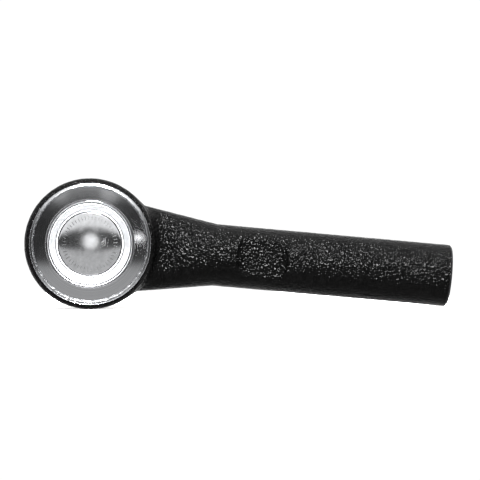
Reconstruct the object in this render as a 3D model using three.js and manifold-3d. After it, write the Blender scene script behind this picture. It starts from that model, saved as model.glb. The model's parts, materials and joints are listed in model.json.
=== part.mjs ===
// Outer tie rod end with a female-threaded shank: a forged housing that holds a ball stud.
//
// Millimetres, +Z up. +X runs along the shank to its threaded mouth and +Y along the ball
// stud to its nut, so the cover plate looks to -Y. The origin is the centre of the cover
// plate's flat disc, on the stud's axis.
//
// A turned outline is a list of [radius, s] points, where s is the distance along the
// stud's axis from the ball's centre, positive towards the nut.

import * as THREE from 'three';
import { mergeVertices } from 'three/addons/utils/BufferGeometryUtils.js';
import Module from 'manifold-3d';

const wasm = await Module();
wasm.setup();

// Ball joint
const BALL_Y = 14.8; // ball centre, measured from the cover plate's disc
const BALL_RADIUS = 13;
const CLEARANCE = 0.3; // air between two pieces that touch on the real part
const SEAT_RADIUS = BALL_RADIUS + CLEARANCE;

// Head of the housing
const HEAD_RADIUS = 20.9;
const RIM_RADIUS = 19;
const RIM_S = -19;
const LIP_RADIUS = 17.9; // hole that the rolled rim leaves round the cover plate
const LIP_S = -17.3; // underside of the rolled rim
const COVER_BORE = 18.7;
const COVER_SHOULDER_S = -13.8;
const SEAT_BORE = 16.3;
const SEAT_CONE_START = new THREE.Vector2(SEAT_BORE, 2);
const THROAT = new THREE.Vector2(12.4, 8);
const MOUTH_RADIUS = 15.6;
const MOUTH_S = 14;
const BOOT_GROOVE_RADIUS = 16.4;
const COLLAR_RADIUS = 17.3;

// Neck, shank and its thread
const NECK_START_X = 9; // inside the head's wall
const NECK_JOINS_HEAD_X = 14; // where the fillet touches the head's round side
const NECK_FILLET = 7.5;
const NECK_FILLET_X = 19; // where the fillet's arc would meet the neck's narrowest point
const NECK_FILLET_Z = 21.14;
const NECK_TAPER = THREE.MathUtils.degToRad(9.3);
const NECK_HALF_THICKNESS = 8.1;
const BARREL_START_X = 40.6;
const BARREL_RADIUS = 10;
const SHANK_END_X = 117;
const SHANK_CHAMFER = 0.6;
const THREAD_MINOR_RADIUS = 6.2; // M14 x 1.5 internal thread
const THREAD_MOUTH_RADIUS = 7.4;
const BORE_DEPTH = 52;
const DRILL_CONE = 3.6;
const FLAT_HALF_ACROSS = 8; // 16 mm wrench size
const FLAT_START_X = 48.6;
const FLAT_END_X = 62.5;
const FLAT_RUN_OUT = 1.5;

// Ball stud, nut and pin
const STUD_NECK_RADIUS = 6.5;
const LAND_RADIUS = 7.3;
const LAND_S = 22;
const TAPER_START_S = 24.5;
const TAPER_END_S = 40.5;
const TAPER_END_RADIUS = 6.3; // 1 in 8 on the diameter
const STUD_THREAD_RADIUS = 6; // M12 x 1.25
const STUD_RELIEF_RADIUS = 5.2;
const STUD_END_S = 57;
const NUT_SEAT_S = 41.5;
const NUT_HEIGHT = 13;
const NUT_ACROSS_FLATS = 18;
const NUT_CROWN_S = 49.5; // bottom of the slots
const NUT_SLOT_WIDTH = 3.2;
const PIN_S = 51.5;
const PIN_HOLE_RADIUS = 1.6;
const PIN_RADIUS = PIN_HOLE_RADIUS - CLEARANCE;

const STEEL = { color: 0x9b9da0, roughness: 0.32, metalness: 1 };
const ZINC = { color: 0xc9c6b8, roughness: 0.35, metalness: 1 };
const BLACK_PAINT = { color: 0x141414, roughness: 0.35, metalness: 0 };
const RUBBER = { color: 0x1b1b1c, roughness: 0.75, metalness: 0 };
const RESIN = { color: 0xe4e0d2, roughness: 0.5, metalness: 0 };

const part = new THREE.Group();

// A named piece with its own finish
function addPiece(name, geometry, finish) {
  const mesh = new THREE.Mesh(geometry, new THREE.MeshStandardMaterial(finish));
  mesh.name = name;
  part.add(mesh);
}

// Merges a geometry's shared corners and hands it over as a solid
function toSolid(geometry) {
  const bare = geometry.clone();
  bare.deleteAttribute('normal');
  bare.deleteAttribute('uv');
  const merged = mergeVertices(bare, 1e-4);
  return new wasm.Manifold(new wasm.Mesh({
    numProp: 3,
    vertProperties: new Float32Array(merged.attributes.position.array),
    triVerts: new Uint32Array(merged.index.array),
  }));
}

function toGeometry(solid) {
  const mesh = solid.getMesh();
  const geometry = new THREE.BufferGeometry();
  geometry.setAttribute('position', new THREE.BufferAttribute(mesh.vertProperties, 3));
  geometry.setIndex(new THREE.BufferAttribute(mesh.triVerts, 1));
  return geometry;
}

// Turns an outline of [radius, s] points round the stud's axis
function turned(outline, segments) {
  const points = outline.map(([radius, s]) => new THREE.Vector2(radius, s + BALL_Y));
  return new THREE.LatheGeometry(points, segments);
}

// A turned ring: its outline closes on itself
const turnedRing = (outline, segments) => turned([...outline, outline[0]], segments);

// Points along a circle round the ball's centre, at angles from the stud's +s direction
function ballArc(radius, fromDegrees, toDegrees, steps) {
  const points = [];
  for (let i = 0; i <= steps; i += 1) {
    const angle = THREE.MathUtils.degToRad(THREE.MathUtils.lerp(fromDegrees, toDegrees, i / steps));
    points.push([radius * Math.sin(angle), radius * Math.cos(angle)]);
  }
  return points;
}

// The angle from +s at which a circle round the ball's centre passes a given s
const polarDegrees = (radius, s) => THREE.MathUtils.radToDeg(Math.acos(s / radius));

// A round wire bent into a ring
function wireRing(ringRadius, wireRadius, s, ringSegments) {
  const wireSides = 6;
  const torus = new THREE.TorusGeometry(ringRadius, wireRadius, wireSides, ringSegments);
  return torus.rotateX(Math.PI / 2).translate(0, s + BALL_Y, 0);
}

// A bar of the given outline in X and Y, centred on Z = 0
function bar(outline, width) {
  const shape = new THREE.Shape(outline.map(([x, y]) => new THREE.Vector2(x, y)));
  const options = { depth: width, bevelEnabled: false };
  return new THREE.ExtrudeGeometry(shape, options).translate(0, 0, -width / 2);
}

// Housing ---------------------------------------------------------------------------

const HEAD_SEGMENTS = 48;

function headBlank() {
  return turned([
    [0, RIM_S],
    [RIM_RADIUS, RIM_S],
    [20.3, -18.3],
    [HEAD_RADIUS, -16.8],
    [HEAD_RADIUS, 7.5],
    [20.2, 9.3],
    [18.6, 10.2],
    [BOOT_GROOVE_RADIUS, 10.6],
    [BOOT_GROOVE_RADIUS, 12.5],
    [COLLAR_RADIUS, 12.7],
    [COLLAR_RADIUS, 13.7],
    [COLLAR_RADIUS - 0.3, MOUTH_S],
    [0, MOUTH_S],
  ], HEAD_SEGMENTS);
}

function headCavity() {
  const past = 1; // how far the cutter runs past both faces
  return turned([
    [0, RIM_S - past],
    [RIM_RADIUS - 0.3, RIM_S - past],
    [RIM_RADIUS - 0.3, RIM_S],
    [LIP_RADIUS + 0.2, RIM_S + 0.6],
    [LIP_RADIUS, LIP_S],
    [COVER_BORE, LIP_S],
    [COVER_BORE, COVER_SHOULDER_S],
    [SEAT_BORE, COVER_SHOULDER_S],
    [SEAT_CONE_START.x, SEAT_CONE_START.y],
    [THROAT.x, THROAT.y],
    [MOUTH_RADIUS, MOUTH_S],
    [MOUTH_RADIUS, MOUTH_S + past],
    [0, MOUTH_S + past],
  ], HEAD_SEGMENTS);
}

// Half the neck's width across Z: just inside the head, the fillet, a taper to the barrel
function neckHalfWidth(x) {
  if (x < NECK_JOINS_HEAD_X) {
    return Math.sqrt((HEAD_RADIUS - 0.1) ** 2 - x ** 2);
  }
  const taper = BARREL_RADIUS + Math.max(BARREL_START_X - x, 0) * Math.tan(NECK_TAPER);
  if (x >= NECK_FILLET_X) {
    return taper;
  }
  const fillet = NECK_FILLET_Z - Math.sqrt(NECK_FILLET ** 2 - (x - NECK_FILLET_X) ** 2);
  return Math.max(fillet, taper);
}

// Half the neck's thickness along the stud: a flattened web that grows into the barrel
function neckHalfThickness(x) {
  const t = THREE.MathUtils.smoothstep(x, NECK_FILLET_X, BARREL_START_X);
  return THREE.MathUtils.lerp(NECK_HALF_THICKNESS, BARREL_RADIUS, t);
}

// One outline of the shank: round on the barrel, squarer where the neck is flattened
function shankSection(x, inset, corners) {
  const squareness = THREE.MathUtils.lerp(0.72, 1, THREE.MathUtils.smoothstep(x, 15, BARREL_START_X));
  const outline = [];
  for (let i = 0; i < corners; i += 1) {
    const angle = (2 * Math.PI * i) / corners;
    const across = Math.sign(Math.sin(angle)) * Math.abs(Math.sin(angle)) ** squareness;
    const along = Math.sign(Math.cos(angle)) * Math.abs(Math.cos(angle)) ** squareness;
    outline.push([
      x,
      BALL_Y + (neckHalfThickness(x) - inset) * along,
      (neckHalfWidth(x) - inset) * across,
    ]);
  }
  return outline;
}

// Skins a row of outlines that all have the same number of corners, and caps both ends
function loft(outlines) {
  const corners = outlines[0].length;
  const middle = (outline) => [0, 1, 2].map((axis) => (
    outline.reduce((sum, point) => sum + point[axis], 0) / corners
  ));
  const points = [...outlines.flat(), middle(outlines[0]), middle(outlines.at(-1))];
  const firstMiddle = points.length - 2;
  const lastMiddle = points.length - 1;
  const lastRow = (outlines.length - 1) * corners;
  const triangles = [];
  for (let i = 0; i < corners; i += 1) {
    const next = (i + 1) % corners;
    triangles.push(firstMiddle, next, i, lastMiddle, lastRow + i, lastRow + next);
    for (let row = 0; row < lastRow; row += corners) {
      triangles.push(row + i, row + next, row + corners + i);
      triangles.push(row + next, row + corners + next, row + corners + i);
    }
  }
  const geometry = new THREE.BufferGeometry();
  geometry.setAttribute('position', new THREE.Float32BufferAttribute(points.flat(), 3));
  geometry.setIndex(triangles);
  return geometry;
}

function shankBlank() {
  const corners = 36;
  const stations = [NECK_START_X, 11.5, 13, 14.2, 15.4, 16.8, NECK_FILLET_X, 25, 30, 35, 38];
  const chamferX = SHANK_END_X - SHANK_CHAMFER;
  return loft([
    ...stations.map((x) => shankSection(x, 0, corners)),
    shankSection(BARREL_START_X, 0, corners),
    shankSection(chamferX, 0, corners),
    shankSection(SHANK_END_X, SHANK_CHAMFER, corners),
  ]);
}

function threadBore() {
  const boreSegments = 24;
  const bottom = SHANK_END_X - BORE_DEPTH;
  const chamfer = THREAD_MOUTH_RADIUS - THREAD_MINOR_RADIUS;
  const outline = [
    [0, bottom - DRILL_CONE],
    [THREAD_MINOR_RADIUS, bottom],
    [THREAD_MINOR_RADIUS, SHANK_END_X - chamfer],
    [THREAD_MOUTH_RADIUS, SHANK_END_X],
    [THREAD_MOUTH_RADIUS, SHANK_END_X + 1],
    [0, SHANK_END_X + 1],
  ].map(([radius, x]) => new THREE.Vector2(radius, x));
  const bore = new THREE.LatheGeometry(outline, boreSegments);
  return bore.rotateZ(-Math.PI / 2).translate(0, BALL_Y, 0);
}

// The slab that milling one wrench flat takes away, on the side given by its sign
function wrenchFlatCutter(side) {
  const depth = BARREL_RADIUS - FLAT_HALF_ACROSS;
  const over = 1;
  const runOut = (FLAT_RUN_OUT * (depth + over)) / depth;
  const y = (half) => BALL_Y + side * half;
  const outline = [
    [FLAT_START_X, y(FLAT_HALF_ACROSS)],
    [FLAT_END_X, y(FLAT_HALF_ACROSS)],
    [FLAT_END_X + runOut, y(BARREL_RADIUS + over)],
    [FLAT_START_X - runOut, y(BARREL_RADIUS + over)],
  ];
  return bar(side > 0 ? outline : outline.reverse(), 3 * BARREL_RADIUS);
}

function housing() {
  const blank = toSolid(headBlank()).add(toSolid(shankBlank()));
  const cuts = [headCavity(), threadBore(), wrenchFlatCutter(1), wrenchFlatCutter(-1)];
  return toGeometry(cuts.reduce((solid, cut) => solid.subtract(toSolid(cut)), blank));
}

addPiece('housing', housing(), BLACK_PAINT);

// Cover, its seal and the spring that loads the seats ---------------------------------

const COVER_SEGMENTS = 40;
const INNER_SEGMENTS = 32;

addPiece('cover_plate', turned([
  [0, -14.8],
  [10.6, -14.8],
  [13.5, -17],
  [18.2, -17],
  [18.4, -16.8],
  [18.4, -15.2],
  [14.3, -15.2],
  [11.5, -13],
  [0, -13],
], COVER_SEGMENTS), STEEL);

addPiece('cover_gasket', turnedRing([
  [17, -14.9],
  [18.4, -14.9],
  [18.4, -14.1],
  [17, -14.1],
], INNER_SEGMENTS), RUBBER);

addPiece('preload_spring', turnedRing([
  [7.5, -12.7],
  [15, -11.8],
  [15, -10.9],
  [7.5, -11.8],
], INNER_SEGMENTS), STEEL);

// Ball seats ---------------------------------------------------------------------------

const SEAT_OUTER = SEAT_BORE - CLEARANCE;
const UPPER_SEAT_TOP = -10.6;
const UPPER_SEAT_FOOT = -0.6;
const LOWER_SEAT_TOP = -0.3;
const LOWER_SEAT_FOOT = 6.9;
const SEAT_STEPS = 5;

addPiece('upper_ball_seat', turnedRing([
  [SEAT_OUTER, UPPER_SEAT_TOP],
  [SEAT_OUTER, UPPER_SEAT_FOOT],
  ...ballArc(
    SEAT_RADIUS,
    polarDegrees(SEAT_RADIUS, UPPER_SEAT_FOOT),
    polarDegrees(SEAT_RADIUS, UPPER_SEAT_TOP),
    SEAT_STEPS,
  ),
], INNER_SEGMENTS), RESIN);

addPiece('lower_ball_seat', turnedRing([
  [SEAT_OUTER, LOWER_SEAT_TOP],
  [SEAT_OUTER, SEAT_CONE_START.y - 0.2],
  [12.75, LOWER_SEAT_FOOT],
  [12.1, LOWER_SEAT_FOOT],
  ...ballArc(SEAT_RADIUS, 61, polarDegrees(SEAT_RADIUS, LOWER_SEAT_TOP), SEAT_STEPS - 2),
], INNER_SEGMENTS), RESIN);

// Dust boot and its two wire rings -------------------------------------------------------

const BOOT_SEGMENTS = 32;
const BOOT_LIP_RADIUS = LAND_RADIUS + CLEARANCE;

addPiece('dust_boot', turnedRing([
  [16.7, 10.9],
  [18.7, 10.9],
  [18.5, 11.2],
  [18.5, 12.1],
  [19.4, 12.7],
  [20.2, 14.1],
  [20.2, 15.7],
  [19.2, 17.4],
  [17.2, 18.6],
  [14.9, 19.2],
  [13.9, 19.9],
  [13.2, 21],
  [11, 21.8],
  [8.6, 22.1],
  [8.6, 24],
  [9.4, 24.1],
  [9.4, 24.7],
  [BOOT_LIP_RADIUS, 24.7],
  [BOOT_LIP_RADIUS, 20.9],
  [10.4, 20.4],
  [12.2, 19.6],
  [12.8, 18.8],
  [14.2, 17.9],
  [16.4, 17.3],
  [17.9, 16.4],
  [18.7, 15.2],
  [18.6, 14.4],
  [17.6, 13.7],
  [17.6, 12.3],
  [16.7, 12.2],
], BOOT_SEGMENTS), RUBBER);

addPiece('boot_housing_ring', wireRing(19.35, 0.5, 11.65, BOOT_SEGMENTS), STEEL);
addPiece('boot_stud_ring', wireRing(9.6, 0.6, 23.1, 24), STEEL);

// Ball stud ------------------------------------------------------------------------------

const STUD_SEGMENTS = 32;
const BALL_FLAT_S = -10.4; // top of the ball, ground flat
const BALL_STEPS = 11;

function pinHole() {
  const hole = new THREE.CylinderGeometry(PIN_HOLE_RADIUS, PIN_HOLE_RADIUS, 20, 14);
  return hole.rotateZ(Math.PI / 2).translate(0, PIN_S + BALL_Y, 0);
}

function ballStud() {
  const neckDegrees = THREE.MathUtils.radToDeg(Math.asin(STUD_NECK_RADIUS / BALL_RADIUS));
  const ball = ballArc(BALL_RADIUS, polarDegrees(BALL_RADIUS, BALL_FLAT_S), neckDegrees, BALL_STEPS);
  const blank = turned([
    [0, BALL_FLAT_S],
    ...ball,
    [STUD_NECK_RADIUS, LAND_S - 1.5],
    [LAND_RADIUS, LAND_S],
    [LAND_RADIUS, TAPER_START_S],
    [TAPER_END_RADIUS, TAPER_END_S],
    [STUD_RELIEF_RADIUS, TAPER_END_S + 0.4],
    [STUD_RELIEF_RADIUS, TAPER_END_S + 1.4],
    [STUD_THREAD_RADIUS, TAPER_END_S + 2.2],
    [STUD_THREAD_RADIUS, STUD_END_S - 1],
    [STUD_THREAD_RADIUS - 1, STUD_END_S],
    [0, STUD_END_S],
  ], STUD_SEGMENTS);
  return toGeometry(toSolid(blank).subtract(toSolid(pinHole())));
}

addPiece('ball_stud', ballStud(), STEEL);

// Castle nut -----------------------------------------------------------------------------

const NUT_SLOTS = 6;
const NUT_TOP_S = NUT_SEAT_S + NUT_HEIGHT;

function castleNut() {
  const corner = NUT_ACROSS_FLATS / Math.sqrt(3);
  const sides = 6;
  const prism = new THREE.CylinderGeometry(corner, corner, NUT_HEIGHT, sides);
  prism.translate(0, (NUT_SEAT_S + NUT_TOP_S) / 2 + BALL_Y, 0);
  const envelope = turned([
    [0, NUT_SEAT_S],
    [NUT_ACROSS_FLATS / 2, NUT_SEAT_S],
    [corner + 0.1, NUT_SEAT_S + 0.8],
    [corner + 0.1, NUT_CROWN_S - 1.3],
    [NUT_ACROSS_FLATS / 2 - 0.6, NUT_CROWN_S - 0.6],
    [NUT_ACROSS_FLATS / 2 - 0.6, NUT_TOP_S - 0.5],
    [NUT_ACROSS_FLATS / 2 - 1.1, NUT_TOP_S],
    [0, NUT_TOP_S],
  ], STUD_SEGMENTS);
  const bore = turned([
    [0, NUT_SEAT_S - 1],
    [STUD_THREAD_RADIUS + CLEARANCE, NUT_SEAT_S - 1],
    [STUD_THREAD_RADIUS + CLEARANCE, NUT_TOP_S + 1],
    [0, NUT_TOP_S + 1],
  ], 24);
  let solid = toSolid(prism).intersect(toSolid(envelope)).subtract(toSolid(bore));
  for (let i = 0; i < NUT_SLOTS / 2; i += 1) {
    const slot = new THREE.BoxGeometry(3 * NUT_ACROSS_FLATS, NUT_HEIGHT, NUT_SLOT_WIDTH);
    slot.translate(0, NUT_CROWN_S + NUT_HEIGHT / 2 + BALL_Y, 0);
    slot.rotateY((2 * Math.PI * i) / NUT_SLOTS);
    solid = solid.subtract(toSolid(slot));
  }
  return toGeometry(solid);
}

addPiece('castle_nut', castleNut(), ZINC);

// Cotter pin -----------------------------------------------------------------------------

const PIN_SIDES = 6;
const EYE_X = -12.6;
const LEG_X = 10.6;

// A round wire of the given radius along a curve through [x, s] points in the plane Z = 0
function wire(points, radius) {
  const path = new THREE.CatmullRomCurve3(points.map(([x, s]) => new THREE.Vector3(x, s + BALL_Y, 0)));
  const section = new THREE.Shape();
  for (let i = 0; i < PIN_SIDES; i += 1) {
    const angle = (2 * Math.PI * i) / PIN_SIDES;
    const corner = [radius * Math.cos(angle), radius * Math.sin(angle)];
    if (i === 0) {
      section.moveTo(...corner);
    } else {
      section.lineTo(...corner);
    }
  }
  const steps = 2 * points.length;
  return new THREE.ExtrudeGeometry(section, { steps, bevelEnabled: false, extrudePath: path });
}

function cotterPin() {
  const legRadius = 0.8;
  const pieces = [
    wire([[EYE_X + 1.6, PIN_S], [0, PIN_S], [LEG_X, PIN_S]], PIN_RADIUS),
    wire([[LEG_X - 1, PIN_S + 0.4], [LEG_X + 0.9, PIN_S + 1.2], [LEG_X + 1.3, PIN_S + 5.5]], legRadius),
    wire([[LEG_X - 1, PIN_S - 0.4], [LEG_X + 0.9, PIN_S - 1.2], [LEG_X + 1.3, PIN_S - 6.5]], legRadius),
    new THREE.TorusGeometry(1.9, legRadius, PIN_SIDES, 14).translate(EYE_X, PIN_S + BALL_Y, 0),
  ];
  return toGeometry(pieces.map(toSolid).reduce((solid, piece) => solid.add(piece)));
}

addPiece('cotter_pin', cotterPin(), ZINC);

export default part;
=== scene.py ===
"""The looks of a tie rod end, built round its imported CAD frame.

The frame's axes are kept: +X runs along the shank, +Y along the ball stud to its nut and +Z across
the head. Sizes in the classes are millimetres, and meshes are metres. A turned outline is a row of
corners (r, s), where r is the radius and s the distance along the axis from the ball's centre.
"""

import json
import logging
import math
from abc import ABC, abstractmethod
from collections.abc import Callable, Sequence
from dataclasses import dataclass, field
from enum import Enum
from typing import Any

import bpy
import numpy as np
from bpy.types import Material, Mesh, Node, NodeSocket, NodeTree, Object
from mathutils import Matrix, Vector, noise


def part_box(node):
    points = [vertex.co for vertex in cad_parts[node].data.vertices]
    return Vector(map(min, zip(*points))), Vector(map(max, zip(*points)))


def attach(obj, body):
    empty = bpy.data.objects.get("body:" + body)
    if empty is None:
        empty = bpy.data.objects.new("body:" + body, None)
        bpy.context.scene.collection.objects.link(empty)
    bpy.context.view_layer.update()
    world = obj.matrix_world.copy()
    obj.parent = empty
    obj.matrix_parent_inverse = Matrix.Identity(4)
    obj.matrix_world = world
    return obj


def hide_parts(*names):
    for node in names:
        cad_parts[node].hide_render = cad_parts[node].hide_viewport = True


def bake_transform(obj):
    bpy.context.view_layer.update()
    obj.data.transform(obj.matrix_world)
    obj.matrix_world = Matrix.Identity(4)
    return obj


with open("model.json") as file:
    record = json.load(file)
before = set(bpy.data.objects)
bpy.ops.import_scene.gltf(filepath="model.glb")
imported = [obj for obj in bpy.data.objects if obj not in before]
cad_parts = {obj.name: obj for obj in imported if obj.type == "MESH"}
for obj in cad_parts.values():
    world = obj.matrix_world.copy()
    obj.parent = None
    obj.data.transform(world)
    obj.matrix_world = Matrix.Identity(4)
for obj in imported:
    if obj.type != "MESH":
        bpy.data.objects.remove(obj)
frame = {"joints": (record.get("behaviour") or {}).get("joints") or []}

LOG = logging.getLogger("tie_rod_end")
MM = 0.001
BALL_Y = frame["joints"][0]["pos_m"][1] / MM
# The forging's skin stays this far inside the CAD box, because its mesh bulges a little past its rule
SKIN_MARGIN = 0.07
HEAD_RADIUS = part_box("housing")[1].z / MM - SKIN_MARGIN
SHANK_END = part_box("housing")[1].x / MM

Wobble = Callable[[np.ndarray, np.ndarray, np.ndarray], tuple[np.ndarray, np.ndarray]]


class Body(Enum):
    """The CAD bodies that pieces ride on."""

    HOUSING = "housing"
    BOOT = "dust_boot"
    COLLAR = "boot_collar"
    STUD = "ball_stud"


class Slot(Enum):
    """The record's material slots."""

    FORGING = "forged_housing"
    COVER = "cover_plate"
    SPRING = "spring_steel"
    SEAL = "seal_rubber"
    SEAT = "ball_seat"
    BOOT = "boot_rubber"
    STUD = "stud_steel"
    ZINC = "zinc_plate"


class Axis(Enum):
    """The two axes that outlines are turned round."""

    STUD = "stud"
    SHANK = "shank"

    def placement(self) -> Matrix:
        """The matrix that puts a mesh turned round +Y on this axis."""
        to_ball = Matrix.Translation((0, BALL_Y * MM, 0))
        if self is Axis.STUD:
            return to_ball
        return to_ball @ Matrix.Rotation(-math.pi / 2, 4, "Z")


# Meshes ------------------------------------------------------------------------------------------


# Corners blunter than this half angle stay as they are
NEARLY_STRAIGHT = math.radians(88)
# A fillet takes at most this share of each side that it joins
FILLET_SHARE = 0.48
# The most that an outline turns by from one row of a fillet to the next
FILLET_STEP = math.radians(14)


@dataclass(frozen=True)
class Corner:
    """One corner of a turned outline.

    Attributes:
        r: Radius from the axis, in millimetres.
        s: Distance along the axis from the ball's centre, in millimetres.
        fillet: Radius that rounds this corner, in millimetres.
        finish: Index of the finish on the stretch that follows.
        steps: Number of rows that the stretch that follows is divided into.
    """

    r: float
    s: float
    fillet: float = 0.0
    finish: int = 0
    steps: int = 1


def corner_arc(before: np.ndarray, here: np.ndarray, after: np.ndarray, fillet: float) -> np.ndarray:
    """Rounds one corner of an outline.

    Args:
        before: The corner before it.
        here: The corner that is rounded.
        after: The corner after it.
        fillet: Radius of the rounding, shortened where the neighbours are too near.

    Returns:
        The points that stand in for the corner, one row each.
    """
    back, on = before - here, after - here
    back_length, on_length = np.linalg.norm(back), np.linalg.norm(on)
    back, on = back / back_length, on / on_length
    half = math.acos(float(np.clip(back @ on, -1, 1))) / 2
    if fillet <= 0 or half > NEARLY_STRAIGHT:
        return here[None]
    reach = min(fillet / math.tan(half), FILLET_SHARE * back_length, FILLET_SHARE * on_length)
    radius = reach * math.tan(half)
    centre = here + (back + on) / np.linalg.norm(back + on) * radius / math.sin(half)
    first, last = here + back * reach - centre, here + on * reach - centre
    sweep = math.pi - 2 * half
    count = max(2, math.ceil(sweep / FILLET_STEP))
    parts = np.linspace(0, 1, count + 1)[:, None]
    return centre + (np.sin((1 - parts) * sweep) * first + np.sin(parts * sweep) * last) / math.sin(sweep)


def traced(corners: Sequence[Corner], closed: bool) -> tuple[np.ndarray, np.ndarray]:
    """Turns an outline's corners into rows.

    Args:
        corners: The outline's corners in order.
        closed: True for a ring, whose last corner joins its first.

    Returns:
        The rows' (r, s) points, and for each row the finish of the stretch that follows it.
    """
    flat = [np.array((c.r, c.s), float) for c in corners]
    arcs = []
    for i, corner in enumerate(corners):
        at_end = not closed and i in (0, len(corners) - 1)
        arcs.append(flat[i][None] if at_end
                    else corner_arc(flat[i - 1], flat[i], flat[(i + 1) % len(flat)], corner.fillet))
    rows, finishes = [], []
    for i, corner in enumerate(corners):
        rows.extend(arcs[i])
        finishes.extend([corners[i - 1].finish] * (len(arcs[i]) - 1) + [corner.finish])
        if corner.steps > 1 and (closed or i + 1 < len(corners)):
            start, end = arcs[i][-1], arcs[(i + 1) % len(arcs)][0]
            for step in range(1, corner.steps):
                rows.append(start + (end - start) * step / corner.steps)
                finishes.append(corner.finish)
    return np.array(rows), np.array(finishes)


def skin(name: str, points: np.ndarray, finishes: np.ndarray, joined: bool) -> Mesh:
    """Makes a closed mesh of quads over rows and columns of points.

    Its UV map holds millimetres along the rows and turns across the columns. An end row that isn't
    joined is merged where its points are one point, and capped where they aren't.

    Args:
        name: The mesh's name.
        points: Millimetres, shaped (rows, columns, 3), closed across the columns.
        finishes: The finish on the stretch after each row.
        joined: True if the last row joins the first.

    Returns:
        The mesh, in metres, with its faces outwards.
    """
    rows, columns = points.shape[:2]
    is_pole = (np.ptp(points, axis=1).max(axis=1) < 1e-9) & (not joined)
    first = np.zeros(rows, int)
    vertices: list[np.ndarray] = []
    for row in range(rows):
        first[row] = len(vertices)
        vertices.extend(points[row][:1] if is_pole[row] else points[row])
    step = np.linalg.norm(np.diff(points[:, 0], axis=0), axis=1)
    along = np.concatenate(([0.0], np.cumsum(step), [np.sum(step) + 1]))
    faces, finish_of, uvs = [], [], []
    for row in range(rows if joined else rows - 1):
        after = (row + 1) % rows
        for column in range(columns):
            ring = [(row, row, column), (after, row + 1, column)]
            if not is_pole[after]:
                ring.append((after, row + 1, column + 1))
            if not is_pole[row]:
                ring.append((row, row, column + 1))
            faces.append([int(first[r]) + (0 if is_pole[r] else c % columns) for r, _, c in ring])
            uvs.extend((along[place], c / columns) for _, place, c in ring)
            finish_of.append(finishes[row])
    for row in () if joined else (0, rows - 1):
        if not is_pole[row]:
            cap = [int(first[row]) + c for c in range(columns)]
            faces.append(cap if row == 0 else cap[::-1])
            uvs.extend([(along[row], 0.0)] * columns)
            finish_of.append(finishes[row])
    mesh = bpy.data.meshes.new(name)
    mesh.from_pydata((np.array(vertices) * MM).tolist(), [], faces)
    mesh.polygons.foreach_set("material_index", np.array(finish_of, np.int32))
    mesh.uv_layers.new(name="Turned").data.foreach_set("uv", np.array(uvs, np.float32).ravel())
    return with_faces_out(mesh)


def with_faces_out(mesh: Mesh) -> Mesh:
    """Turns a closed mesh's faces round if it encloses a negative volume."""
    mesh.calc_loop_triangles()
    places = np.zeros(len(mesh.vertices) * 3)
    mesh.vertices.foreach_get("co", places)
    corners = np.zeros(len(mesh.loop_triangles) * 3, np.int32)
    mesh.loop_triangles.foreach_get("vertices", corners)
    a, b, c = places.reshape(-1, 3)[corners].reshape(-1, 3, 3).transpose(1, 0, 2)
    if np.sum(a * np.cross(b, c)) < 0:
        mesh.flip_normals()
    return mesh


def turned(name: str, corners: Sequence[Corner], segments: int, axis: Axis = Axis.STUD,
           wobble: Wobble | None = None) -> Mesh:
    """Turns an outline round an axis.

    Args:
        name: The mesh's name.
        corners: A ring's outline, or one that starts and ends on the axis.
        segments: Number of columns round the axis.
        axis: The axis that it is turned round.
        wobble: Gives what to add to r and s from the angle, r and s of each point.

    Returns:
        The closed mesh with its faces outwards.
    """
    closed = corners[0].r > 0
    outline, finishes = traced(corners, closed)
    angle = np.linspace(0, 2 * math.pi, segments, endpoint=False)[None].repeat(len(outline), 0)
    r, s = outline[:, :1].repeat(segments, 1), outline[:, 1:].repeat(segments, 1)
    if wobble:
        extra_r, extra_s = wobble(angle, r, s)
        r, s = np.where(r > 0, r + extra_r, r), np.where(r > 0, s + extra_s, s)
    points = np.stack((r * np.cos(angle), s, r * np.sin(angle)), axis=2)
    mesh = skin(name, points, finishes, closed)
    mesh.transform(axis.placement())
    return mesh


def swept(name: str, path: np.ndarray, section: np.ndarray) -> Mesh:
    """Sweeps a section along a path that lies in the plane Z = 0.

    Args:
        name: The mesh's name.
        path: Points along the path, in millimetres, shaped (rows, 2) as x and y.
        section: The section's points: distance to the path's left, and z.

    Returns:
        The closed mesh with its faces outwards.
    """
    tangent = np.gradient(path, axis=0)
    tangent /= np.linalg.norm(tangent, axis=1)[:, None]
    left = np.stack((-tangent[:, 1], tangent[:, 0]), axis=1)
    flat = path[:, None] + section[None, :, :1] * left[:, None]
    height = section[None, :, 1:].repeat(len(path), 0)
    points = np.concatenate((flat, height), axis=2)
    return skin(name, points, np.zeros(len(path), int), False)


def placed(name: str, mesh: Mesh, finishes: Sequence[Material] = (),
           sharp_degrees: float = 35) -> Object:
    """Links a mesh into the scene as an object at the origin.

    Args:
        name: The object's name.
        mesh: Its mesh.
        finishes: Materials to add, in the order of the mesh's material indices.
        sharp_degrees: Edges that turn by more than this stay sharp.

    Returns:
        The object.
    """
    mesh.name = name
    for finish in finishes:
        mesh.materials.append(finish)
    if mesh.polygons:
        mesh.shade_smooth()
        mesh.set_sharp_from_angle(angle=math.radians(sharp_degrees))
    piece = bpy.data.objects.new(name, mesh)
    bpy.context.collection.objects.link(piece)
    return piece


def baked(piece: Object) -> Mesh:
    """A plain mesh of the piece as its modifiers make it."""
    graph = bpy.context.evaluated_depsgraph_get()
    return bpy.data.meshes.new_from_object(piece.evaluated_get(graph))


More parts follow.
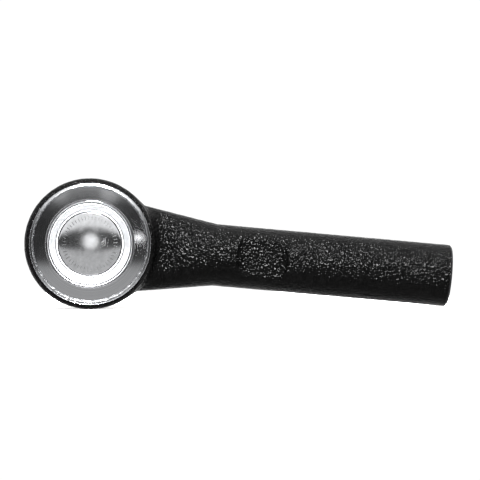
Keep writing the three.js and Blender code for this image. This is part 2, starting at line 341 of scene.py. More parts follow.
def cut(piece: Object, tool: Mesh, tool_finishes: Sequence[Material] = (),
        operation: str = "DIFFERENCE", sharp_degrees: float = 35) -> Object:
    """Cuts a piece with a tool, or joins or intersects them, and leaves a plain mesh.

    Args:
        piece: The object that is worked on.
        tool: A closed mesh. Its surfaces bring their finishes with them.
        tool_finishes: The tool's materials, in the order of its material indices.
        operation: DIFFERENCE, UNION or INTERSECT.
        sharp_degrees: Edges that turn by more than this stay sharp.

    Returns:
        The new object, under the piece's name.
    """
    helper = placed("tool", tool, tool_finishes)
    modifier = piece.modifiers.new("cut", "BOOLEAN")
    modifier.object = helper
    modifier.operation = operation
    modifier.solver = "MANIFOLD"
    modifier.material_mode = "TRANSFER"
    mesh = baked(piece)
    name = piece.name
    for gone in (piece, helper):
        bpy.data.objects.remove(gone)
    return placed(name, mesh, (), sharp_degrees)


def ragged(angle: np.ndarray, harmonics: Sequence[int], seed: int) -> np.ndarray:
    """A closed, uneven wave round the axis, within about one unit either way.

    Args:
        angle: Angles round the axis, in radians.
        harmonics: Whole numbers of waves in a turn, the coarsest first.
        seed: Seed of the waves' phases.

    Returns:
        The wave's height at each angle.
    """
    phases = np.random.default_rng(seed).uniform(0, 2 * math.pi, len(harmonics))
    weights = 1 / np.sqrt(np.arange(1, len(harmonics) + 1))
    waves = sum(w * np.sin(k * angle + p) for w, k, p in zip(weights, harmonics, phases, strict=True))
    return waves / weights.sum() * 2


@dataclass(frozen=True)
class Thread:
    """A helical V thread on a plain cylinder.

    Attributes:
        pitch: Distance between crests, in millimetres.
        depth: What the thread adds to the radius at its deepest; negative cuts inwards.
        start: Where it starts along the axis.
        end: Where it ends.
        radius: The plain cylinder's radius, which picks the rows that the thread changes.
    """

    pitch: float
    depth: float
    start: float
    end: float
    radius: float

    def __call__(self, angle: np.ndarray, r: np.ndarray, s: np.ndarray) -> tuple[np.ndarray, np.ndarray]:
        """What the thread adds to r and s at each point of a turned outline."""
        turn = (s / self.pitch - angle / (2 * math.pi)) % 1
        flank = np.abs(2 * turn - 1)
        groove = np.clip((0.875 - flank) / 0.625, 0, 1)
        fade = np.clip((s - self.start) / self.pitch, 0, 1) * np.clip((self.end - s) / self.pitch, 0, 1)
        on_cylinder = np.abs(r - self.radius) < 1e-6
        return self.depth * groove * fade * on_cylinder, np.zeros_like(s)


# Finishes ----------------------------------------------------------------------------------------


def linear(code: str) -> tuple[float, float, float, float]:
    """A linear RGBA colour from an sRGB hex code such as "1A2B3C"."""
    channels = [int(code[i:i + 2], 16) / 255 for i in (0, 2, 4)]
    red, green, blue = (c / 12.92 if c <= 0.04045 else ((c + 0.055) / 1.055) ** 2.4 for c in channels)
    return red, green, blue, 1.0


def set_inputs(tree: NodeTree, node: Node, inputs: dict[str | int, Any]) -> None:
    """Sets or links a node's inputs.

    Args:
        tree: The node's tree.
        node: The node.
        inputs: For each input, by name or number, a value or the socket that feeds it.
    """
    for key, value in inputs.items():
        if isinstance(value, NodeSocket):
            tree.links.new(value, node.inputs[key])
        else:
            node.inputs[key].default_value = value


def add_node(tree: NodeTree, kind: str, inputs: dict[str | int, Any] | None = None,
             **settings: Any) -> Node:
    """Adds a node with its settings, values and links.

    Args:
        tree: The tree that it goes into.
        kind: The node's type.
        inputs: For each input, by name or number, a value or the socket that feeds it.
        **settings: The node's own properties.

    Returns:
        The node.
    """
    node = tree.nodes.new(kind)
    for name, value in settings.items():
        setattr(node, name, value)
    set_inputs(tree, node, inputs or {})
    return node


def ramp(tree: NodeTree, factor: NodeSocket,
         stops: Sequence[tuple[float, tuple[float, float, float, float]]]) -> NodeSocket:
    """A colour ramp through the given stops, each a place from 0 to 1 and a colour."""
    node = add_node(tree, "ShaderNodeValToRGB", {"Fac": factor})
    elements = node.color_ramp.elements
    while len(elements) < len(stops):
        elements.new(1.0)
    for element, (place, colour) in zip(elements, stops, strict=True):
        element.position = place
        element.color = colour
    return node.outputs["Color"]


def grey(value: float) -> tuple[float, float, float, float]:
    """A neutral linear colour."""
    return value, value, value, 1.0


def two_tone(tree: NodeTree, value: NodeSocket, shade: str, colour: str,
             low: float = 0.3, high: float = 0.7) -> NodeSocket:
    """Runs from one hex colour to another as a value rises from low to high."""
    return ramp(tree, value, [(low, linear(shade)), (high, linear(colour))])


def empty_material(name: str) -> Material:
    """A new material without nodes."""
    made = bpy.data.materials.new(name)
    made.use_nodes = True
    made.node_tree.nodes.clear()
    return made


def object_mm(tree: NodeTree) -> NodeSocket:
    """Object coordinates in millimetres."""
    place = add_node(tree, "ShaderNodeTexCoord")
    return add_node(tree, "ShaderNodeVectorMath", {0: place.outputs["Object"], "Scale": 1 / MM},
                    operation="SCALE").outputs["Vector"]


def stretched_uv(tree: NodeTree, along: float, turns: float) -> NodeSocket:
    """The turned UV map, scaled along the outline and round the axis."""
    place = add_node(tree, "ShaderNodeUVMap", uv_map="Turned").outputs["UV"]
    return add_node(tree, "ShaderNodeMapping", {"Vector": place, "Scale": (along, turns, 1.0)}).outputs[0]


def grain(tree: NodeTree, place: NodeSocket, spacing: float,
          detail: float = 2.0) -> NodeSocket:
    """A noise whose lumps are about the given spacing apart, in the place's own units."""
    return add_node(tree, "ShaderNodeTexNoise", {"Vector": place, "Scale": 1 / spacing, "Detail": detail,
                                                 "Roughness": 0.55}).outputs["Fac"]


def scaled(tree: NodeTree, value: NodeSocket, low: float,
           high: float) -> NodeSocket:
    """Maps a value of 0 to 1 to another range, held at its ends."""
    return add_node(tree, "ShaderNodeMapRange", {"Value": value, "To Min": low, "To Max": high}).outputs[0]


def bumped(tree: NodeTree, height: NodeSocket, depth: float,
           under: NodeSocket | None = None) -> NodeSocket:
    """A normal bent by a height of 0 to 1 that stands for the given depth, in millimetres."""
    inputs: dict[str | int, Any] = {"Height": height, "Distance": depth * MM, "Strength": 1.0}
    if under:
        inputs["Normal"] = under
    return add_node(tree, "ShaderNodeBump", inputs).outputs["Normal"]


class Grower:
    """A geometry node group under construction, and the plain mesh that it makes.

    Attributes:
        given: The group's inputs by label.
    """

    def __init__(self, name: str, inputs: dict[str, float]) -> None:
        """Opens the group.

        Args:
            name: The group's name.
            inputs: The label and value of each input, among them a "Level" along the frame's Y.
        """
        self.group = bpy.data.node_groups.new(name, "GeometryNodeTree")
        self.group.interface.new_socket("Geometry", in_out="OUTPUT", socket_type="NodeSocketGeometry")
        self.values: dict[str, float] = {}
        for label, value in inputs.items():
            kind = "NodeSocketInt" if isinstance(value, int) else "NodeSocketFloat"
            socket = self.group.interface.new_socket(label, in_out="INPUT", socket_type=kind)
            self.values[socket.identifier] = value
        self.given = self.group.nodes.new("NodeGroupInput").outputs

    def add(self, kind: str, inputs: dict[str | int, Any], **settings: Any) -> Node:
        """Adds a node to the group in the way that add_node does."""
        return add_node(self.group, kind, inputs, **settings)

    def mesh(self, name: str, shape: NodeSocket, turn: float,
             finish: Material) -> Mesh:
        """Closes the group and makes its mesh.

        Args:
            name: The mesh's name.
            shape: The geometry, round Z at the origin.
            turn: The turn about X that stands it round the stud's axis, in radians.
            finish: Its material.

        Returns:
            The mesh, with its instances made real.
        """
        shift = self.add("ShaderNodeCombineXYZ", {"Y": self.given["Level"]})
        upright = self.add("GeometryNodeTransform", {"Geometry": shape, "Translation": shift.outputs[0],
                                                     "Rotation": (turn, 0.0, 0.0)})
        real = self.add("GeometryNodeRealizeInstances", {"Geometry": upright.outputs[0]})
        dressed = self.add("GeometryNodeSetMaterial", {"Geometry": real.outputs[0], "Material": finish})
        self.add("NodeGroupOutput", {"Geometry": dressed.outputs[0]})
        holder = placed(name, bpy.data.meshes.new(name))
        modifier = holder.modifiers.new(name, "NODES")
        modifier.node_group = self.group
        for identifier, value in self.values.items():
            modifier[identifier] = value
        made = baked(holder)
        bpy.data.objects.remove(holder)
        return made


@dataclass(frozen=True)
class Finish(ABC):
    """A surface finish: one material, made once."""

    name: str

    def material(self) -> Material:
        """The finish's material, made on first use."""
        found = bpy.data.materials.get(self.name)
        if found:
            return found
        made = empty_material(self.name)
        tree = made.node_tree
        shader = add_node(tree, "ShaderNodeBsdfPrincipled")
        add_node(tree, "ShaderNodeOutputMaterial", {"Surface": shader.outputs["BSDF"]})
        self.dress(tree, shader)
        return made

    @abstractmethod
    def dress(self, tree: NodeTree, shader: Node) -> None:
        """Sets the shader's values and adds the nodes that feed it."""


@dataclass(frozen=True)
class ForgedCoat(Finish):
    """Black electrocoat over a shot-blasted steel forging.

    Scale and shot leave a pebbled skin, and the thin glossy coat follows it, so that each pebble
    throws its own spark under a lamp while the rest stays near black. Real pebbles are about 0.3 mm
    apart and are drawn coarser to show.

    Attributes:
        colour: The coat's colour.
        worn_colour: Its colour where it is thin.
        pebble: Distance between pebbles, in millimetres.
        pebble_depth: Their depth.
        ripple: Spacing of the skin's broad unevenness.
        ripple_depth: The depth of that.
        fines: Spacing of the fine grain on the pebbles.
        fines_depth: The depth of that.
        roughness: The coat's middling roughness.
        reflection: The coat's specular level.
    """

    colour: str = "010101"
    worn_colour: str = "030303"
    pebble: float = 0.74
    pebble_depth: float = 0.52
    ripple: float = 2.6
    ripple_depth: float = 0.16
    fines: float = 0.35
    fines_depth: float = 0.06
    roughness: float = 0.16
    reflection: float = 0.048

    def dress(self, tree: NodeTree, shader: Node) -> None:
        """Sets the coat's values and its pebbled bump."""
        place = object_mm(tree)
        cells = add_node(tree, "ShaderNodeTexVoronoi", {"Vector": place, "Scale": 1 / self.pebble,
                                                        "Smoothness": 0.6}, feature="SMOOTH_F1")
        broad = bumped(tree, grain(tree, place, self.ripple), self.ripple_depth)
        pebbles = bumped(tree, cells.outputs["Distance"], self.pebble_depth, broad)
        set_inputs(tree, shader, {
            "Base Color": two_tone(tree, grain(tree, place, 1.4), self.colour, self.worn_colour, high=0.75),
            "Roughness": scaled(tree, grain(tree, place, 0.9), self.roughness - 0.06, self.roughness + 0.1),
            "Specular IOR Level": self.reflection,
            "Normal": bumped(tree, grain(tree, place, self.fines), self.fines_depth, pebbles),
        })


@dataclass(frozen=True)
class MachinedCoat(Finish):
    """Black electrocoat over machined steel: the same coat, smooth but for faint tool marks."""

    colour: str = "0D0D0E"
    roughness: float = 0.26
    reflection: float = 0.08

    def dress(self, tree: NodeTree, shader: Node) -> None:
        """Sets the coat's values and the tool marks under it."""
        place = object_mm(tree)
        set_inputs(tree, shader, {
            "Base Color": linear(self.colour),
            "Roughness": scaled(tree, grain(tree, place, 1.2), self.roughness - 0.05, self.roughness + 0.07),
            "Specular IOR Level": self.reflection,
            "Normal": bumped(tree, grain(tree, place, 0.5), 0.02),
        })


@dataclass(frozen=True)
class TurnedSteel(Finish):
    """Steel turned or ground in a lathe and left bright.

    Its fine rings draw each lamp's reflection out across them, which shows as soft rays that run
    in and out from the centre.

    Attributes:
        colour: The steel's colour on a crest.
        shade: Its colour in a mark.
        roughness: Its roughness where it is smoothest.
        unevenness: What is added where it is roughest.
        anisotropy: How far reflections are drawn out across the marks.
        feed: Distance between marks, in millimetres.
        mark_depth: Depth of a mark, in millimetres.
    """

    colour: str = "C7C8CA"
    shade: str = "B2B3B5"
    roughness: float = 0.03
    unevenness: float = 0.03
    anisotropy: float = 0.3
    feed: float = 0.35
    mark_depth: float = 0.00025

    def dress(self, tree: NodeTree, shader: Node) -> None:
        """Sets the metal's values and its turning marks."""
        marks = grain(tree, stretched_uv(tree, 1 / self.feed, 0.0), 1.0, 1.0)
        patches = grain(tree, object_mm(tree), 4.0)
        set_inputs(tree, shader, {
            "Base Color": two_tone(tree, marks, self.shade, self.colour, 0.25, 0.75),
            "Metallic": 1.0,
            "Roughness": scaled(tree, patches, self.roughness, self.roughness + self.unevenness),
            "Anisotropic": self.anisotropy,
            "Tangent": add_node(tree, "ShaderNodeTangent", direction_type="UV_MAP",
                                uv_map="Turned").outputs["Tangent"],
            "Normal": bumped(tree, marks, self.mark_depth),
        })


@dataclass(frozen=True)
class FormedMetal(Finish):
    """Metal formed, rolled or plated: satin and a little uneven.

    Attributes:
        colour: The metal's brighter colour.
        shade: Its duller colour.
        patch: Spacing of the brighter and duller patches, in millimetres.
        roughness: Its roughness.
        peel: Spacing of the small unevenness, in millimetres.
        peel_depth: The depth of that, in millimetres.
        metallic: Less than 1 where a chalky film covers the metal.
    """

    colour: str = "D6D5D2"
    shade: str = "BDBCB9"
    patch: float = 1.6
    roughness: float = 0.25
    peel: float = 0.7
    peel_depth: float = 0.006
    metallic: float = 1.0

    def dress(self, tree: NodeTree, shader: Node) -> None:
        """Sets the metal's values, its patches and its unevenness."""
        place = object_mm(tree)
        set_inputs(tree, shader, {
            "Base Color": two_tone(tree, grain(tree, place, self.patch, 4.0), self.shade, self.colour),
            "Metallic": self.metallic,
            "Roughness": scaled(tree, grain(tree, place, 0.8, 4.0), self.roughness * 0.8,
                                self.roughness * 1.3),
            "Normal": bumped(tree, grain(tree, place, self.peel, 3.0), self.peel_depth),
        })


@dataclass(frozen=True)
class RolledEdge(Finish):
    """The forging's rim, rolled over cold: smeared bright steel with scuffs along the roll."""

    colour: str = "CCCDCF"
    shade: str = "8B8C8E"
    roughness: float = 0.16
    smear: float = 0.5
    smears_to_a_turn: float = 60.0
    smear_depth: float = 0.012

    def dress(self, tree: NodeTree, shader: Node) -> None:
        """Sets the metal's values and its smears along the rim."""
        smears = grain(tree, stretched_uv(tree, 1 / self.smear, self.smears_to_a_turn), 1.0, 4.0)
        set_inputs(tree, shader, {
            "Base Color": two_tone(tree, smears, self.shade, self.colour, high=0.6),
            "Metallic": 1.0,
            "Roughness": scaled(tree, smears, self.roughness + 0.12, self.roughness - 0.06),
            "Normal": bumped(tree, smears, self.smear_depth),
        })


@dataclass(frozen=True)
class MouldedRubber(Finish):
    """Moulded synthetic rubber: a matt black skin with a fine bloom and a spark-eroded grain."""

    colour: str = "141415"
    bloom_colour: str = "212122"
    roughness: float = 0.55

    def dress(self, tree: NodeTree, shader: Node) -> None:
        """Sets the rubber's values, its bloom and its grain."""
        place = object_mm(tree)
        bloom = grain(tree, place, 5.0, 4.0)
        # A mould's spark-eroded grain is about 0.05 mm; it is drawn at 0.2 mm to show
        set_inputs(tree, shader, {
            "Base Color": two_tone(tree, bloom, self.colour, self.bloom_colour, 0.35, 0.75),
            "Roughness": scaled(tree, bloom, self.roughness - 0.07, self.roughness + 0.1),
            "Specular IOR Level": 0.4,
            "Normal": bumped(tree, grain(tree, place, 0.2), 0.012),
        })


@dataclass(frozen=True)
class MouldedAcetal(Finish):
    """Natural acetal resin as moulded: milky white, slightly see-through and slippery."""

    colour: str = "E6E2D6"
    shade: str = "DDD8CA"

    def dress(self, tree: NodeTree, shader: Node) -> None:
        """Sets the resin's values."""
        place = object_mm(tree)
        set_inputs(tree, shader, {
            "Base Color": two_tone(tree, grain(tree, place, 6.0), self.shade, self.colour),
            "Roughness": scaled(tree, grain(tree, place, 1.0), 0.32, 0.45),
            "IOR": 1.48,
            "Subsurface Weight": 0.15,
            "Subsurface Radius": (0.6 * MM, 0.5 * MM, 0.4 * MM),
            "Normal": bumped(tree, grain(tree, place, 0.4), 0.004),
        })


FORGED_COAT = ForgedCoat("electrocoat_on_blasted_forging")
MACHINED_COAT = MachinedCoat("electrocoat_on_machined_steel")
# Lathe-turned: rings that draw reflections into rays. A real feed of 0.1 mm is drawn coarser to show
TURNED_STEEL = TurnedSteel("turned_bright_steel")
# Cylindrically ground, hardened: tighter rings. Real marks are 0.02 mm apart, drawn coarser to show
GROUND_STEEL = TurnedSteel("ground_alloy_steel", colour="B9B9BA", shade="A4A4A6", roughness=0.2,
                           unevenness=0.1, feed=0.2, mark_depth=0.003)
# Cold-pressed sheet: bright satin with faint orange-peel from the die
PRESSED_STEEL = FormedMetal("pressed_bright_steel", colour="E3E4E6", shade="D3D4D6", roughness=0.06,
                            peel_depth=0.0002)
# The drawn wall: stretched, so whiter and more matt
PRESSED_WALL = FormedMetal("pressed_steel_wall", colour="D6D7D9", shade="BEBFC1", roughness=0.42,
                           metallic=0.95)
# The die's bend lines: painted shade, a dark colour put into each sharp crease where shade falls
PAINTED_CREASE_SHADE = FormedMetal("painted_crease_shade", colour="4A4A4C", shade="2C2C2E", roughness=0.4)
ROLLED_EDGE = RolledEdge("rolled_steel_rim")
# Tempered spring steel wiped with oil: dark and smooth
OILED_STEEL = FormedMetal("oiled_spring_steel", colour="85858A", shade="66666B", roughness=0.28, peel=0.25)
# Bright zinc plate: pale, with a faint warm passivation
ZINC_PLATE = FormedMetal("bright_zinc_plate", colour="D2CFC2", shade="BDBBAF", patch=3.5, roughness=0.3,
                         peel=0.5, peel_depth=0.012)
BOOT_RUBBER = MouldedRubber("moulded_chloroprene")
SEAL_RUBBER = MouldedRubber("moulded_nitrile", colour="101011", roughness=0.45)
ACETAL = MouldedAcetal("moulded_acetal")


# Sub-assemblies ----------------------------------------------------------------------------------


class SubAssembly(ABC):
    """A group of pieces that are built, dressed and put on their bodies together."""

    @abstractmethod
    def build(self) -> None:
        """Makes the pieces and hands each to the frame."""

    def hand_over(self, piece: Object, body: Body, slot: Slot, *nodes: str) -> None:
        """Puts a finished piece on its body.

        Args:
            piece: The piece, at the origin.
            body: The body that it rides on.
            slot: The record's slot that its finish comes from; it is not used.
            *nodes: The CAD nodes that it stands for.
        """
        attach(piece, body.value)
        self.declare(piece, slot, *nodes)

    def declare(self, piece: Object, slot: Slot, *nodes: str) -> None:
        """Hides the CAD nodes that a piece stands for, and logs its triangles."""
        if nodes:
            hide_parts(*nodes)
        piece.data.calc_loop_triangles()
        LOG.info("%s: %d triangles", piece.name, len(piece.data.loop_triangles))


def soft_minimum(a: np.ndarray, b: np.ndarray, reach: np.ndarray | float) -> np.ndarray:
    """The lesser of two distances, blended where they are within reach of each other."""
    mix = np.clip(1 - np.abs(a - b) / reach, 0, 1)
    return np.minimum(a, b) - mix * mix * reach / 4


def smooth_step(value: np.ndarray, low: float, high: float) -> np.ndarray:
    """Rises smoothly from 0 at low to 1 at high."""
    t = np.clip((value - low) / (high - low), 0, 1)
    return t * t * (3 - 2 * t)


@dataclass
class Housing(SubAssembly):
    """The forged housing: round head with its rolled rim, neck, barrel, flats and thread.

    The forging's skin is where a distance function is zero, so its parts run into each other in
    soft fillets. Two turned tools then cut the rim, seats and groove, and the threaded bore.

    Attributes:
        rim: Level of the rim above the ball's centre, in millimetres; it is on the cap's side.
        head_foot: Level of the head's other face.
        rim_rounding: Radius of the head's edge at the rim.
        foot_rounding: Radius of its edge at the other face.
        boss_radius: Radius of the boss that carries the boot's groove.
        boss_foot: Level of the boss's face.
        barrel: Radius of the shank's barrel.
        barrel_start: Where the barrel starts along the shank.
        neck_taper: Angle by which each side of the neck widens towards the head, in degrees.
        neck_thickness: Half the neck's thickness at the head.
        flat: Distance of each wrench flat from the shank's axis.
        flat_start: Where the flats start along the shank.
        flat_end: Where they end.
        flat_slope: How steeply the cutter runs out at both ends of a flat.
        voxel: Size of the mesh's cells.
        settling: Number of times that the mesh is drawn onto the skin.
        pit_spacing: Distance between the pits that scale leaves.
        pit_depth: Their depth.
        thread: The bore's thread.
    """

    rim: float = -19.0
    head_foot: float = 10.2
    rim_rounding: float = 3.0
    foot_rounding: float = 2.7
    boss_radius: float = 17.8
    boss_foot: float = 14.6
    barrel: float = 10.0
    barrel_start: float = 40.6
    neck_taper: float = 9.3
    neck_thickness: float = 8.1
    flat: float = 8.0
    flat_start: float = 48.6
    flat_end: float = 62.5
    flat_slope: float = 0.75
    voxel: float = 0.5
    settling: int = 8
    pit_spacing: float = 1.6
    pit_depth: float = 0.07
    thread: Thread = field(default_factory=lambda: Thread(1.5, 0.8, 81.0, SHANK_END - 0.4, 6.2))

    def head_distance(self, x: np.ndarray, s: np.ndarray, z: np.ndarray) -> np.ndarray:
        """Distance from the head's skin, negative inside."""
        top = self.rim - 0.1
        middle, half = (self.head_foot + top) / 2, (self.head_foot - top) / 2
        corner = np.where(s < middle, self.rim_rounding, self.foot_rounding)
        out = np.hypot(x, z) - (HEAD_RADIUS - corner)
        up = np.abs(s - middle) - (half - corner)
        head = np.hypot(np.maximum(out, 0), np.maximum(up, 0)) + np.minimum(np.maximum(out, up), 0) - corner
        boss = np.maximum(np.hypot(x, z) - self.boss_radius, np.abs(s - 7) - (self.boss_foot - 7))
        return np.minimum(head, boss)

    def shank_distance(self, x: np.ndarray, s: np.ndarray, z: np.ndarray) -> np.ndarray:
        """Distance from the neck's and barrel's skin, negative inside."""
        # Near the head the section is flat and squarish; it grows round where it runs into the barrel
        width = self.barrel + np.maximum(self.barrel_start - x, 0) * math.tan(math.radians(self.neck_taper))
        thickness = self.neck_thickness + (self.barrel - self.neck_thickness) * smooth_step(x, 18, 40)
        power = 2 + 0.9 * (1 - smooth_step(x, 15, 41))
        across, along = np.abs(z) / width, np.abs(s) / thickness
        size = (across ** power + along ** power + 1e-12) ** (1 / power)
        shank = (size - 1) * np.minimum(width, thickness)
        depth = np.abs(s) - self.flat
        norm = math.hypot(1, self.flat_slope)
        ends = np.maximum((self.flat_start - self.flat_slope * depth - x) / norm,
                          (x - self.flat_end - self.flat_slope * depth) / norm)
        milled = -soft_minimum(-shank, np.maximum(-depth, ends), 0.5)
        return np.maximum(milled, np.maximum(x - SHANK_END - 1.5, -x))

    def skin_distance(self, points: np.ndarray) -> np.ndarray:
        """Distance from the forging's skin, in millimetres, at points shaped (n, 3)."""
        x, s, z = points[:, 0], points[:, 1] - BALL_Y, points[:, 2]
        # The fillet between neck and head is tight at the neck's sides and wide on its two broad faces
        reach = 1.1 + 3.4 * smooth_step(np.abs(s), 3.0, 8.0)
        return soft_minimum(self.head_distance(x, s, z), self.shank_distance(x, s, z), reach)

    def skin_slope(self, points: np.ndarray) -> np.ndarray:
        """The skin distance's gradient at points shaped (n, 3)."""
        nudge = 0.02
        steps = np.eye(3) * nudge
        rises = [self.skin_distance(points + step) - self.skin_distance(points - step) for step in steps]
        return np.stack(rises, axis=1) / (2 * nudge)

    def forging(self) -> Object:
        """The forging before machining, as an even mesh drawn onto its skin."""
        head = turned("head_blank", [
            Corner(0, self.rim), Corner(HEAD_RADIUS, self.rim), Corner(HEAD_RADIUS, self.head_foot),
            Corner(self.boss_radius, self.head_foot), Corner(self.boss_radius, self.boss_foot),
            Corner(0, self.boss_foot),
        ], 96)
        shank = turned("shank_blank", [
            Corner(0, 0), Corner(15, 0), Corner(self.barrel, self.barrel_start),
            Corner(self.barrel, SHANK_END + 1.5), Corner(0, SHANK_END + 1.5),
        ], 48, Axis.SHANK)
        blank = cut(placed("forging", head), shank, (), "UNION")
        even = blank.modifiers.new("even", "REMESH")
        even.mode = "VOXEL"
        even.voxel_size = self.voxel * MM
        mesh = baked(blank)
        bpy.data.objects.remove(blank)
        points = np.zeros(len(mesh.vertices) * 3)
        mesh.vertices.foreach_get("co", points)
        points = points.reshape(-1, 3) / MM
        for _ in range(self.settling):
            slope = self.skin_slope(points)
            steep = np.maximum(np.sum(slope * slope, axis=1), 0.25)
            points -= slope * (self.skin_distance(points) / steep)[:, None]
        slope = self.skin_slope(points)
        slope /= np.linalg.norm(slope, axis=1)[:, None]
        pits = np.array([noise.fractal(Vector(p) / self.pit_spacing, 0.6, 2.0, 3) for p in points])
        points -= slope * (self.pit_depth * np.clip(0.5 + pits, 0, 1))[:, None]
        mesh.vertices.foreach_set("co", (points * MM).ravel())
        mesh.update()
        mesh.materials.clear()
        return placed("housing_forging", mesh, [FORGED_COAT.material()], 60)

    def rim_wobble(self, angle: np.ndarray, r: np.ndarray, s: np.ndarray) -> tuple[np.ndarray, np.ndarray]:
        """The uneven lip and crest that rolling the rim over leaves."""
        lip = np.exp(-((r - 18.1) / 0.35) ** 2) * (s < -17.0)
        crest = np.exp(-((r - 19.3) / 0.45) ** 2) * (s < -18.2)
        uneven = ragged(angle, (23, 41, 67, 103), 7)
        coarse = ragged(angle, (3, 5, 8, 13), 11)
        return lip * (0.1 * uneven + 0.04 * coarse) + crest * 0.03 * uneven, lip * 0.05 * (uneven + 1)

    def head_tool(self) -> Mesh:
        """The solid that turning takes out of the head and off its two ends."""
        steel, coat = 0, 1
        return turned("head_tool", [
            Corner(0, -22, 0, steel), Corner(24, -22, 0, steel), Corner(24, -19.4, 0, steel),
            Corner(19.45, -19.4, 0, steel), Corner(19.3, -18.75, 0, steel),
            Corner(19.15, -18.55, 0.1, steel), Corner(18.75, -18.82, 0.4, steel, 2),
            Corner(18.3, self.rim + 0.03, 0.3, steel),
            Corner(18.1, -18.6, 0.15, steel), Corner(17.95, -17.9, 0.3, steel, 2),
            Corner(17.9, -17.35, 0.1, steel), Corner(18.7, -17.3, 0, steel), Corner(18.7, -13.8, 0, steel),
            Corner(16.3, -13.8, 0, steel), Corner(16.3, 2, 0.8, steel), Corner(12.4, 8, 0.8, steel),
            Corner(15.6, 14, 0.15, coat), Corner(17.3, 14, 0.3, coat), Corner(17.3, 12.7, 0.2, coat),
            Corner(16.4, 12.5, 0.3, coat), Corner(16.4, 10.6, 0.3, coat), Corner(18.7, 10.3, 0.2, coat),
            Corner(24, 10.3, 0, coat), Corner(24, 16, 0, coat), Corner(0, 16, 0, coat),
        ], 360, Axis.STUD, self.rim_wobble)

    def bore_tool(self) -> Mesh:
        """The solid that drilling, tapping and facing take out of the shank's end."""
        thread, coat = 0, 1
        bottom = SHANK_END - 52
        return turned("bore_tool", [
            Corner(0, bottom - 3.6, 0, thread), Corner(6.2, bottom, 0, thread),
            Corner(6.2, self.thread.start, 0, thread, 240), Corner(6.2, SHANK_END - 1.2, 0, coat),
            Corner(7.4, SHANK_END, 0.15, coat), Corner(9.3, SHANK_END, 0.35, coat),
            Corner(10.4, SHANK_END - 1.1, 0, coat), Corner(13, SHANK_END - 1.1, 0, coat),
            Corner(13, SHANK_END + 4, 0, coat), Corner(0, SHANK_END + 4, 0, coat),
        ], 60, Axis.SHANK, self.thread)

    def build(self) -> None:
        """Forges, machines and hands over the housing."""
        piece = self.forging()
        coat = MACHINED_COAT.material()
        piece = cut(piece, self.head_tool(), [ROLLED_EDGE.material(), coat], sharp_degrees=50)
        piece = cut(piece, self.bore_tool(), [OILED_STEEL.material(), coat], sharp_degrees=50)
        self.hand_over(piece, Body.HOUSING, Slot.FORGING, "housing")


@dataclass
class StrokeRing:
    """A ring of short raised strokes, made by geometry nodes.

    Attributes:
        level: Where along the frame's Y the strokes' middles lie, in millimetres.
        count: Number of strokes in the ring.
        radius: Radius of the ring's middle, in millimetres.
        length: Each stroke's length across the ring, in millimetres.
        width: Its width.
        height: Its height through the plate's face.
        shortest: The shortest stroke's share of that length.
        longest: The longest stroke's share of it.
        seed: Seed of the strokes' uneven lengths.
    """

    level: float
    count: int = 48
    radius: float = 8.25
    length: float = 1.25
    width: float = 0.26
    height: float = 0.3
    shortest: float = 0.7
    longest: float = 1.15
    seed: int = 5

    def mesh(self, name: str, finish: Material) -> Mesh:
        """The strokes as a plain mesh.

        Args:
            name: The mesh's name.
            finish: The strokes' material.

        Returns:
            The mesh.
        """
        group = Grower("stroke_ring", {
            "Radius": self.radius * MM, "Length": self.length * MM, "Width": self.width * MM,
            "Height": self.height * MM, "Level": self.level * MM, "Count": self.count, "Seed": self.seed})
        given = group.given
        circle = group.add("GeometryNodeMeshCircle", {"Vertices": given["Count"],
                                                      "Radius": given["Radius"]})
        size = group.add("ShaderNodeCombineXYZ", {"X": given["Length"], "Y": given["Width"],
                                                  "Z": given["Height"]})
        stroke = group.add("GeometryNodeMeshCube", {"Size": size.outputs[0]})
        index = group.add("GeometryNodeInputIndex", {})
        part = group.add("ShaderNodeMath", {0: index.outputs[0], 1: given["Count"]}, operation="DIVIDE")
        angle = group.add("ShaderNodeMath", {0: part.outputs[0], 1: 2 * math.pi}, operation="MULTIPLY")
        facing = group.add("ShaderNodeCombineXYZ", {"Z": angle.outputs[0]})
        uneven = group.add("FunctionNodeRandomValue", {2: self.shortest, 3: self.longest,
                                                       "Seed": given["Seed"]}, data_type="FLOAT")
        stretch = group.add("ShaderNodeCombineXYZ", {"X": uneven.outputs[1], "Y": 1.0, "Z": 1.0})
        copies = group.add("GeometryNodeInstanceOnPoints", {
            "Points": circle.outputs["Mesh"], "Instance": stroke.outputs["Mesh"],
            "Rotation": facing.outputs[0], "Scale": stretch.outputs[0]})
        return group.mesh(name, copies.outputs["Instances"], math.pi / 2, finish)


